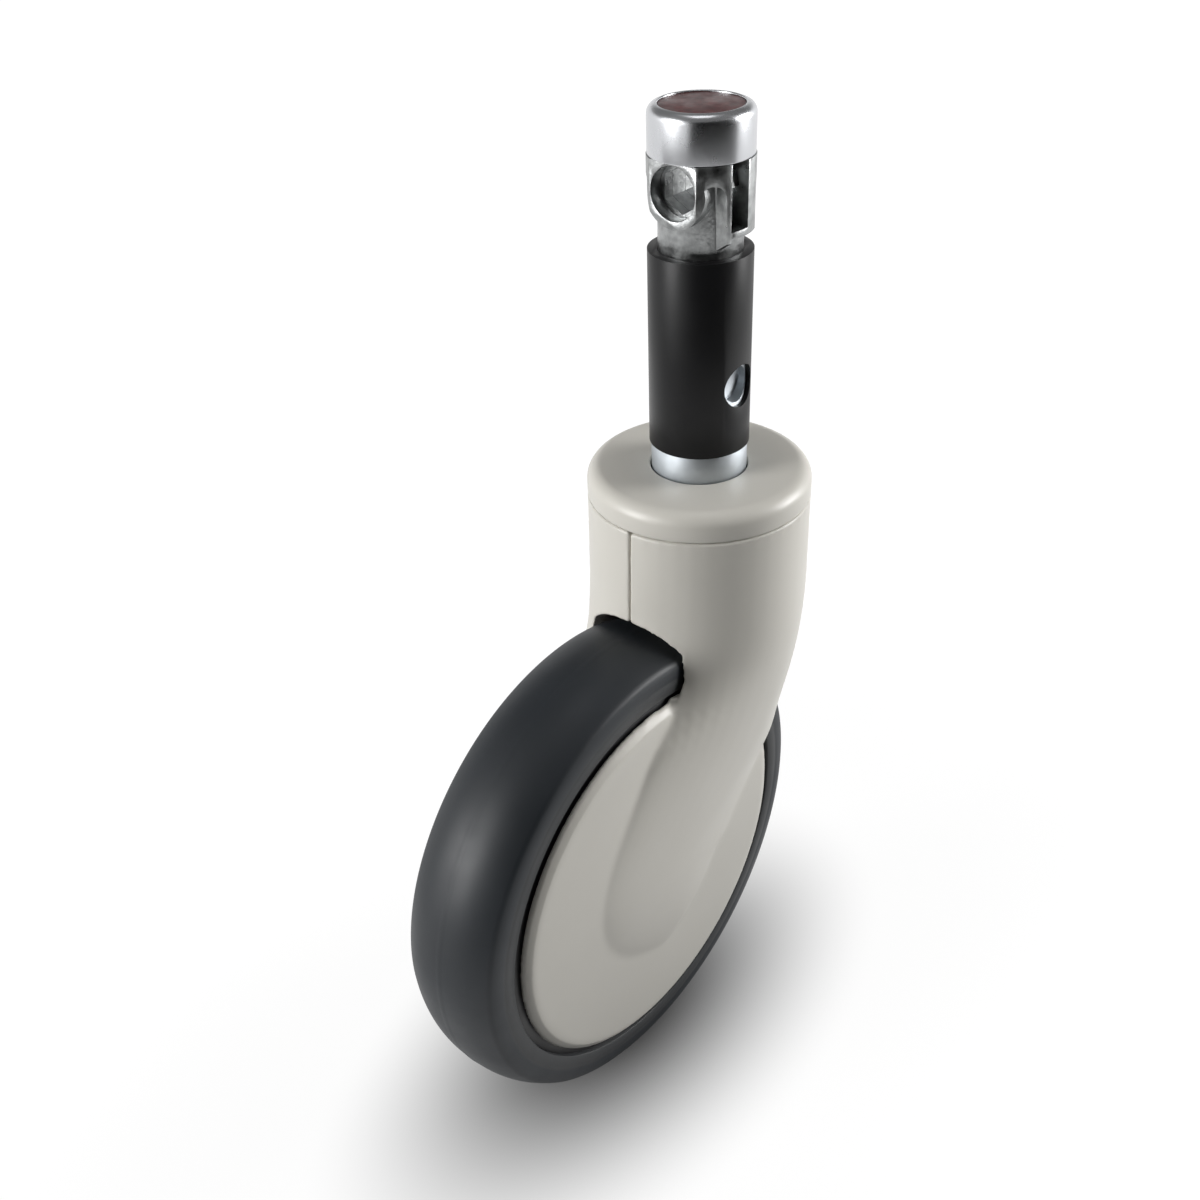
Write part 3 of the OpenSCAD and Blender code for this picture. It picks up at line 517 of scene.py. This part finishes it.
def finish_for(slot):
    """The material of a slot, made on first use."""
    look = LOOKS[slot]
    made = bpy.data.materials.get(look["name"])
    if made:
        return made
    finish = Finish(look["name"], **look.get("shader", {}))
    base = look["base"]
    if isinstance(base, str):
        base = getattr(colours(), base)
    second = look["second"] if "second" in look else tone(base, look["tone"])
    under = finish.colour(base, second, look["drift"])
    # Painted highlight on the ring of the tyre's side.
    if "ring" in look:
        finish.ring(under, colours().tyre_ring_highlight, **look["ring"])
    finish.roughness(**look["roughness"])
    if "lathe" in look:
        finish.lathe(**look["lathe"])
    if "grain" in look:
        finish.grain(**look["grain"])
    return finish.material


# Pieces


def mesh_of(name, bm):
    """A new mesh from a bmesh, which is freed."""
    mesh = bpy.data.meshes.new(name)
    bm.to_mesh(mesh)
    bm.free()
    return mesh


def linked(name, data):
    """A new object of that data, linked to the scene."""
    made = bpy.data.objects.new(name, data)
    bpy.context.scene.collection.objects.link(made)
    return made


def place_piece(name, bm, slot, body, nodes, sharp=None):
    """Links a bmesh as a finished piece that stands for CAD nodes.

    Edges past the sharp angle stay crisp.
    """
    mesh = mesh_of(name, bm)
    mesh.shade_smooth()
    if sharp is not None:
        mesh.set_sharp_from_angle(angle=math.radians(sharp))
    mesh.materials.append(finish_for(slot))
    piece = linked(name, mesh)
    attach(piece, body)
    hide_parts(*nodes)
    return piece


def turned(profile, centre, axis, steps):
    """A turned piece from a profile of (radius, height) points.

    A profile that starts on the axis also ends there.
    """
    bm = bmesh.new()
    side = Vector((1.0, 0.0, 0.0))
    corners = [bm.verts.new(centre + side * r + axis * h) for r, h in profile]
    solid = profile[0][0] == 0.0
    followers = corners[1:] if solid else corners[1:] + corners[:1]
    edges = [bm.edges.new((a, b)) for a, b in zip(corners, followers)]
    bmesh.ops.spin(
        bm,
        geom=corners + edges,
        cent=centre,
        axis=axis,
        dvec=(0.0, 0.0, 0.0),
        angle=math.tau,
        steps=steps,
        use_merge=True,
        use_duplicate=False,
    )
    bmesh.ops.remove_doubles(bm, verts=bm.verts, dist=1e-7)
    bmesh.ops.recalc_face_normals(bm, faces=bm.faces)
    return bm


def rounded(centre, radius, start, end, count):
    """Points of an arc, with angles in degrees from the radius direction."""
    return [
        (
            centre[0] + radius * math.cos(math.radians(start + (end - start) * i / count)),
            centre[1] + radius * math.sin(math.radians(start + (end - start) * i / count)),
        )
        for i in range(count + 1)
    ]


def merged_copy(node):
    """A CAD node's mesh as a bmesh with its loose triangles joined."""
    bm = bmesh.new()
    bm.from_mesh(frame["nodes"][node].data)
    bmesh.ops.remove_doubles(bm, verts=bm.verts, dist=1e-6)
    return bm


def broken_edges(bm, width, angle):
    """Bevels the sharp edges of a merged CAD copy."""
    flat = math.radians(0.4)
    bmesh.ops.dissolve_limit(
        bm,
        angle_limit=flat,
        use_dissolve_boundaries=False,
        verts=bm.verts,
        edges=bm.edges,
        delimit=set(),
    )
    limit = math.radians(angle)
    sharp = [edge for edge in bm.edges if edge.is_manifold and edge.calc_face_angle(0.0) > limit]
    bmesh.ops.bevel(
        bm,
        geom=sharp,
        offset=width,
        offset_type="OFFSET",
        segments=2,
        profile=0.5,
        affect="EDGES",
        clamp_overlap=True,
        material=-1,
    )
    return bm


def remeshed(bm, voxel):
    """The mesh on an even grid, so that smoothing rounds its edges."""
    source = linked("grid source", mesh_of("grid source", bm))
    remesh = source.modifiers.new("Grid", "REMESH")
    remesh.mode = "VOXEL"
    remesh.voxel_size = voxel
    remesh.adaptivity = 0.0
    return evaluated_copy(source)


def evaluated_copy(source):
    """The object's mesh after its modifiers, as a bmesh. The object is removed."""
    evaluated = source.evaluated_get(bpy.context.evaluated_depsgraph_get())
    result = bmesh.new()
    result.from_mesh(evaluated.to_mesh())
    evaluated.to_mesh_clear()
    mesh = source.data
    bpy.data.objects.remove(source)
    bpy.data.meshes.remove(mesh)
    return result


def thinned(bm, triangles):
    """The mesh with fewer triangles where it is flat."""
    bmesh.ops.triangulate(bm, faces=bm.faces)
    share = triangles / len(bm.faces)
    if share >= 1.0:
        return bm
    source = linked("dense source", mesh_of("dense source", bm))
    source.modifiers.new("Thin", "DECIMATE").ratio = share
    return evaluated_copy(source)


def smooth(bm, verts, count):
    """Smooths vertices a number of times."""
    for _ in range(count):
        bmesh.ops.smooth_vert(
            bm, verts=verts, factor=0.5, use_axis_x=True, use_axis_y=True, use_axis_z=True
        )


def smooth_over(bm, verts, reach, grid):
    """Smooths vertices as often as a reach takes on a grid."""
    smooth(bm, verts, round((reach / grid) ** 2))


def from_axle(vert):
    """Distance of a vertex from the axle's line."""
    return (vert.co.xz - AXLE.xz).length


def away_from_edges(bm, angle, rings):
    """Vertices that lie a few rings away from every sharp edge."""
    limit = math.radians(angle)
    near = {v for edge in bm.edges if edge.calc_face_angle(0.0) > limit for v in edge.verts}
    for _ in range(rings):
        near |= {edge.other_vert(v) for v in near for edge in v.link_edges}
    return [v for v in bm.verts if v not in near]


class CASTOR_OT_fork_shells(bpy.types.Operator):
    """Moulded halves of the fork, with soft edges and a leg that flows into its wheel cover"""

    bl_idname = "castor.fork_shells"
    bl_label = "Fork Shells"

    def execute(self, context):
        outside, cover_edge = 16.6 * MM, 56.5 * MM
        back_start, lip_start, lip_end = -2.0 * MM, 60.5 * MM, 83.0 * MM
        coarser = 1.0
        voxel = sizes().shell_voxel * coarser
        for side in ("left", "right"):
            node = f"fork_shell_{side}"
            bm = remeshed(merged_copy(node), voxel)
            plain = away_from_edges(bm, angle=24, rings=3)
            smooth(bm, bm.verts, count=3)
            leg = {v for v in bm.verts if abs(v.co.y) > outside and from_axle(v) < cover_edge}
            head = [v for v in plain if v not in leg]
            smooth_over(bm, head, sizes().shell_fairing, voxel)
            smooth_over(bm, list(leg), sizes().shell_blend, voxel)
            lip = [
                v
                for v in bm.verts
                if v.co.x > back_start and lip_start < from_axle(v) < lip_end and v not in leg
            ]
            smooth_over(bm, lip, sizes().lip_round, voxel)
            bm = thinned(bm, sizes().shell_faces)
            place_piece(f"{node}_skin", bm, "shell", "fork", [node])
        return {"FINISHED"}


class CASTOR_OT_head_cap(bpy.types.Operator):
    """Ring cap on the head, with its wide rounded edge"""

    bl_idname = "castor.head_cap"
    bl_label = "Head Cap"

    def execute(self, context):
        edge, lip = 4.2 * MM, 0.5 * MM
        hole, step, skirt = 13.85 * MM, 20.5 * MM, 29.1 * MM
        roof = HEAD_TOP - 2.5 * MM
        inner_roof = HEAD_SEAM + 3.65 * MM
        profile = (
            [(skirt, HEAD_SEAM), (HEAD_R - lip, HEAD_SEAM)]
            + rounded((HEAD_R - lip, HEAD_SEAM + lip), lip, -90, 0, 3)[1:]
            + rounded((HEAD_R - edge, HEAD_TOP - edge), edge, 0, 90, 12)
            + rounded((hole + lip, HEAD_TOP - lip), lip, 90, 180, 3)
            + [(hole, roof), (step, roof), (step, inner_roof), (skirt, inner_roof)]
        )
        bm = turned(profile, Vector(), Z_AXIS, sizes().turn_steps)
        place_piece("head_cap_skin", bm, "shell", "fork", ["head_cap"], sharp=40)
        return {"FINISHED"}


class CASTOR_OT_tyre(bpy.types.Operator):
    """Tyre with a crowned tread, a mould line and a flat ring on each side"""

    bl_idname = "castor.tyre"
    bl_label = "Tyre"

    def execute(self, context):
        half, shoulder = 16.2 * MM, 15.1 * MM
        drop, crown = 4.1 * MM, 2.4
        seat, ring = WHEEL_R - 13.45 * MM, WHEEL_R - 9.1 * MM
        chamfer, step = 0.3 * MM, 0.5 * MM
        line, line_width = sizes().mould_line, 0.35 * MM
        tread = []
        steps = 40
        for i in range(steps + 1):
            y = -shoulder + 2 * shoulder * i / steps
            r = WHEEL_R - drop * (abs(y) / shoulder) ** crown
            tread.append((r + line * math.exp(-((y / line_width) ** 2)), y))
        side = [
            (seat, half - chamfer),
            (seat + chamfer, half),
            (ring - step, half),
            (ring, half - 0.12 * MM),
            (ring + step, half - 0.03 * MM),
            (WHEEL_R - drop - 2.6 * MM, half - 0.2 * MM),
            (WHEEL_R - drop - 0.9 * MM, half - 0.55 * MM),
        ]
        low = [(r, -y) for r, y in side]
        profile = low + tread + side[::-1]
        bm = turned(profile, AXLE, Y_AXIS, 2 * sizes().turn_steps)
        place_piece("tyre_skin", bm, "tyre", "wheel", ["tyre"], sharp=50)
        return {"FINISHED"}


class CASTOR_OT_stem_cap(bpy.types.Operator):
    """Polished cap on the stem and the disc in its recess"""

    bl_idname = "castor.stem_cap"
    bl_label = "Stem Cap"

    def execute(self, context):
        low, high = CAP_LOW.z, CAP_HIGH.z
        outer = CAP_HIGH.y
        edge, soft, wall = 2.5 * MM, 0.3 * MM, 1.45 * MM
        recess, play, sunk = 11.05 * MM, 0.05 * MM, 0.35 * MM
        inner = outer - wall
        floor = DISC_FLOOR - 0.01 * MM
        ceiling = low + 8.5 * MM
        profile = (
            [(0.0, ceiling), (inner, ceiling), (inner, low), (outer - soft, low)]
            + rounded((outer - soft, low + soft), soft, -90, 0, 3)[1:]
            + rounded((outer - edge, high - edge), edge, 0, 90, 14)
            + rounded((recess + soft, high - soft), soft, 90, 180, 4)
            + [(recess, floor), (0.0, floor)]
        )
        bm = turned(profile, Vector(), Z_AXIS, sizes().turn_steps)
        place_piece("top_cap_skin", bm, "cap", "stem", ["top_cap"], sharp=40)

        r = recess - play
        top = high - sunk
        profile = (
            [(0.0, DISC_FLOOR), (r, DISC_FLOOR)]
            + rounded((r - soft, top - soft), soft, 0, 90, 4)
            + [(0.0, top)]
        )
        bm = turned(profile, Vector(), Z_AXIS, sizes().turn_steps)
        place_piece("cap_disc_skin", bm, "disc", "stem", ["cap_disc"], sharp=40)
        return {"FINISHED"}


class CASTOR_OT_stem_parts(bpy.types.Operator):
    """Turned and cast parts of the stem, with broken edges"""

    bl_idname = "castor.stem_parts"
    bl_label = "Stem Parts"

    def execute(self, context):
        edge = sizes().edge_break
        parts = [
            ("stem_sleeve", "sleeve", "stem", edge),
            ("stem_tube", "steel", "stem", edge),
            ("cam_housing", "zinc", "stem", edge),
            ("cam_retainer", "steel", "stem", edge),
            ("shell_screws", "steel", "fork", edge),
            ("wheel_rim", "rim", "wheel", 2 * edge),
        ]
        for node, slot, body, width in parts:
            bm = broken_edges(merged_copy(node), width, 35)
            if node == "cam_housing":
                self.end_rib(bm)
            place_piece(f"{node}_skin", bm, slot, body, [node], sharp=35)
        return {"FINISHED"}

    def end_rib(self, bm):
        """Ends the rib beside the slot just below its pad."""
        low, high, outside, lift = 57.3 * MM, 58.2 * MM, 12.2 * MM, 2.2 * MM
        foot = [v for v in bm.verts if low < v.co.z < high and v.co.xy.length > outside]
        bmesh.ops.translate(bm, verts=foot, vec=Z_AXIS * lift)


class CASTOR_OT_springs(bpy.types.Operator):
    """Springs of the rod and the lever"""

    bl_idname = "castor.springs"
    bl_label = "Springs"

    def execute(self, context):
        springs = [
            ("return_spring", "stem", "rod_slide", 1.05 * MM, 0.885),
            ("lever_spring", "fork", "brake_swing", -61.95 * MM, 0.72),
        ]
        for node, body, joint, seat, keep in springs:
            spring = place_piece(f"{node}_skin", merged_copy(node), "steel", body, [node], sharp=35)
            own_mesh(spring)
        return {"FINISHED"}


class CASTOR_OT_inner_parts(bpy.types.Operator):
    """Finishes of the CAD parts inside the castor"""

    bl_idname = "castor.inner_parts"
    bl_label = "Inner Parts"

    def execute(self, context):
        slots = {row["node"]: row["material_slot"] for row in frame["record"]["subparts"]}
        for node, piece in frame["nodes"].items():
            piece.data.materials.clear()
            piece.data.materials.append(finish_for(slots[node]))
        return {"FINISHED"}


class CASTOR_OT_stage(bpy.types.Operator):
    """Floor, lamps, world and camera"""

    bl_idname = "castor.stage"
    bl_label = "Stage"

    def execute(self, context):
        self.floor()
        self.curtain("studio_curtain", first=190, turn=106, top=0.55)
        self.curtain("studio_curtain_low", first=125, turn=65, top=0.10)
        self.lamps()
        self.world()
        self.camera()
        context.scene.view_settings.view_transform = "Standard"
        return {"FINISHED"}

    def floor(self):
        """Floor that curves up into a wall."""
        reach, bend, wall, sunk = 9.0, 1.5, 3.4, 0.2 * MM
        profile = [(0.0, 0.0)] + rounded((reach - bend, bend), bend, -90, 0, 8) + [(reach, wall)]
        centre = Vector((0.0, 0.0, FLOOR_Z - sunk))
        mesh = mesh_of("studio_floor", turned(profile, centre, Z_AXIS, 96))
        mesh.materials.append(self.floor_finish())
        floor = linked("studio_floor", mesh)

    def floor_finish(self):
        """Grey that glows white for camera, gloss and transmission.

        The glow is held back in a fixed ellipse round the wheel's place at rest, so the dark grey
        floor there is a painted shadow pool, which stays put when the fork swivels.
        """
        material = bpy.data.materials.new("Studio floor")
        material.use_nodes = True
        nodes, link = material.node_tree.nodes, material.node_tree.links.new
        shader = nodes["Principled BSDF"]
        shader.inputs["Base Color"].default_value = (0.11, 0.11, 0.11, 1.0)
        shader.inputs["Roughness"].default_value = 0.8
        shader.inputs["Specular IOR Level"].default_value = 0.1
        shader.inputs["Emission Color"].default_value = (1.0, 1.0, 1.0, 1.0)
        path = nodes.new("ShaderNodeLightPath")
        seen = operation(nodes, "Math", "MAXIMUM")
        through = operation(nodes, "Math", "MAXIMUM")
        place = nodes.new("ShaderNodeTexCoord")
        shift = operation(nodes, "VectorMath", "SUBTRACT")
        shift.inputs[1].default_value = (AXLE.x, 0.0, FLOOR_Z)
        # Painted shadow: the floor's glow is squeezed into an ellipse under the wheel at rest.
        painted_shadow_ellipse = operation(nodes, "VectorMath", "MULTIPLY")
        painted_shadow_ellipse.inputs[1].default_value = (1.0, 1.9, 0.0)
        distance = operation(nodes, "VectorMath", "LENGTH")
        both = operation(nodes, "Math", "ADD")
        level = operation(nodes, "Math", "MULTIPLY")
        link(place.outputs["Object"], shift.inputs[0])
        link(shift.outputs["Vector"], painted_shadow_ellipse.inputs[0])
        link(painted_shadow_ellipse.outputs["Vector"], distance.inputs[0])
        # Painted shadow: little glow near the wheel's rest place, so the floor's dark grey shows
        # there as a shadow pool.
        for i, (near, far, glow) in enumerate(((0.01, 0.13, 0.93), (0.13, 0.5, 0.10))):
            spread = nodes.new("ShaderNodeMapRange")
            spread.interpolation_type = "SMOOTHSTEP"
            spread.inputs["From Min"].default_value = near
            spread.inputs["From Max"].default_value = far
            spread.inputs["To Max"].default_value = glow
            link(distance.outputs["Value"], spread.inputs["Value"])
            link(spread.outputs["Result"], both.inputs[i])
        link(path.outputs["Is Camera Ray"], seen.inputs[0])
        link(path.outputs["Is Glossy Ray"], seen.inputs[1])
        link(seen.outputs[0], through.inputs[0])
        link(path.outputs["Is Transmission Ray"], through.inputs[1])
        link(through.outputs[0], level.inputs[0])
        link(both.outputs[0], level.inputs[1])
        link(level.outputs[0], shader.inputs["Emission Strength"])
        return material

    def curtain(self, name, first, turn, top):
        """Dark curtain round the stem, seen only in gloss.

        It gives metal a dark band and keeps black parts black.
        """
        start, reach, foot = math.radians(first), 0.45, 1.0 * MM
        bm = bmesh.new()
        ends = [
            bm.verts.new((reach * math.cos(start), reach * math.sin(start), FLOOR_Z + z))
            for z in (foot, top)
        ]
        bmesh.ops.spin(
            bm,
            geom=ends + [bm.edges.new(ends)],
            cent=(0.0, 0.0, 0.0),
            axis=(0.0, 0.0, 1.0),
            dvec=(0.0, 0.0, 0.0),
            angle=math.radians(turn),
            steps=24,
            use_duplicate=False,
        )
        mesh = mesh_of(name, bm)
        material = bpy.data.materials.new(name)
        material.use_nodes = True
        shader = material.node_tree.nodes["Principled BSDF"]
        shader.inputs["Base Color"].default_value = (0.02, 0.02, 0.02, 1.0)
        shader.inputs["Roughness"].default_value = 1.0
        shader.inputs["Specular IOR Level"].default_value = 0.0
        mesh.materials.append(material)
        curtain = linked(name, mesh)
        curtain.visible_camera = False
        curtain.visible_diffuse = False
        curtain.visible_transmission = False
        curtain.visible_shadow = False

    def lamps(self):
        aim = Vector((0.0, 0.0, 0.03))
        for name, place, size, power, spread in (
            ("left softbox", (-0.54, 0.27, 0.16), (0.3, 0.5), 0.58, 52),
            ("right softbox", (0.42, -0.42, 0.16), (0.3, 0.5), 0.62, 52),
            ("overhead softbox", (0.05, 0.05, 1.25), (0.5, 0.5), 1.5, 180),
        ):
            data = bpy.data.lights.new(name, "AREA")
            data.shape = "RECTANGLE"
            data.size, data.size_y = size
            data.energy = power
            data.spread = math.radians(spread)
            lamp = linked(name, data)
            lamp.location = place
            lamp.rotation_mode = "QUATERNION"
            lamp.rotation_quaternion = (aim - Vector(place)).to_track_quat("-Z", "Y")
            lamp.visible_camera = False

    def world(self):
        world = bpy.data.worlds.new("Studio")
        world.use_nodes = True
        sky = world.node_tree.nodes["Background"]
        sky.inputs["Color"].default_value = (1.0, 1.0, 1.0, 1.0)
        sky.inputs["Strength"].default_value = 0.2
        bpy.context.scene.world = world

    def camera(self):
        data = bpy.data.cameras.new("Camera")
        data.sensor_width = 36.0
        data.lens = 42.64
        data.clip_start = 0.01
        data.clip_end = 50.0
        turn, pitch, roll = (math.radians(a) for a in (-49.04, 33.35, -2.17))
        back = Vector(
            (math.sin(turn) * math.cos(pitch), -math.cos(turn) * math.cos(pitch), math.sin(pitch))
        )
        right = Vector((math.cos(turn), math.sin(turn), 0.0))
        up = back.cross(right)
        level_right = right * math.cos(roll) + up * math.sin(roll)
        level_up = up * math.cos(roll) - right * math.sin(roll)
        place = Vector((-0.29045, -0.21288, 0.18234))
        axes = Matrix((level_right, level_up, back)).transposed()
        camera = linked("Camera", data)
        camera.matrix_world = Matrix.Translation(place) @ axes.to_4x4()
        bpy.context.scene.camera = camera


OPERATORS = (
    CASTOR_OT_inner_parts,
    CASTOR_OT_fork_shells,
    CASTOR_OT_head_cap,
    CASTOR_OT_tyre,
    CASTOR_OT_stem_cap,
    CASTOR_OT_stem_parts,
    CASTOR_OT_springs,
    CASTOR_OT_stage,
)


class CASTOR_PT_panel(bpy.types.Panel):
    """Buttons for the castor's pieces and the values that they use"""

    bl_idname = "CASTOR_PT_panel"
    bl_label = "Total Lock Castor"
    bl_space_type = "VIEW_3D"
    bl_region_type = "UI"
    bl_category = "Castor"

    def draw(self, context):
        for operator in OPERATORS:
            self.layout.operator(operator.bl_idname)
        for group in (context.scene.castor_sizes, context.scene.castor_colours):
            for label in group.bl_rna.properties.keys():
                if label not in ("rna_type", "name"):
                    self.layout.prop(group, label)


CLASSES = (CastorSizes, CastorColours, *OPERATORS, CASTOR_PT_panel)


def register():
    for cls in CLASSES:
        bpy.utils.register_class(cls)
    bpy.types.Scene.castor_sizes = PointerProperty(type=CastorSizes)
    bpy.types.Scene.castor_colours = PointerProperty(type=CastorColours)


def unregister():
    del bpy.types.Scene.castor_sizes
    del bpy.types.Scene.castor_colours
    for cls in reversed(CLASSES):
        bpy.utils.unregister_class(cls)


def main():
    register()
    bpy.ops.castor.inner_parts()
    bpy.ops.castor.fork_shells()
    bpy.ops.castor.head_cap()
    bpy.ops.castor.tyre()
    bpy.ops.castor.stem_cap()
    bpy.ops.castor.stem_parts()
    bpy.ops.castor.springs()
    bpy.ops.castor.stage()


if __name__ == "__main__":
    main()
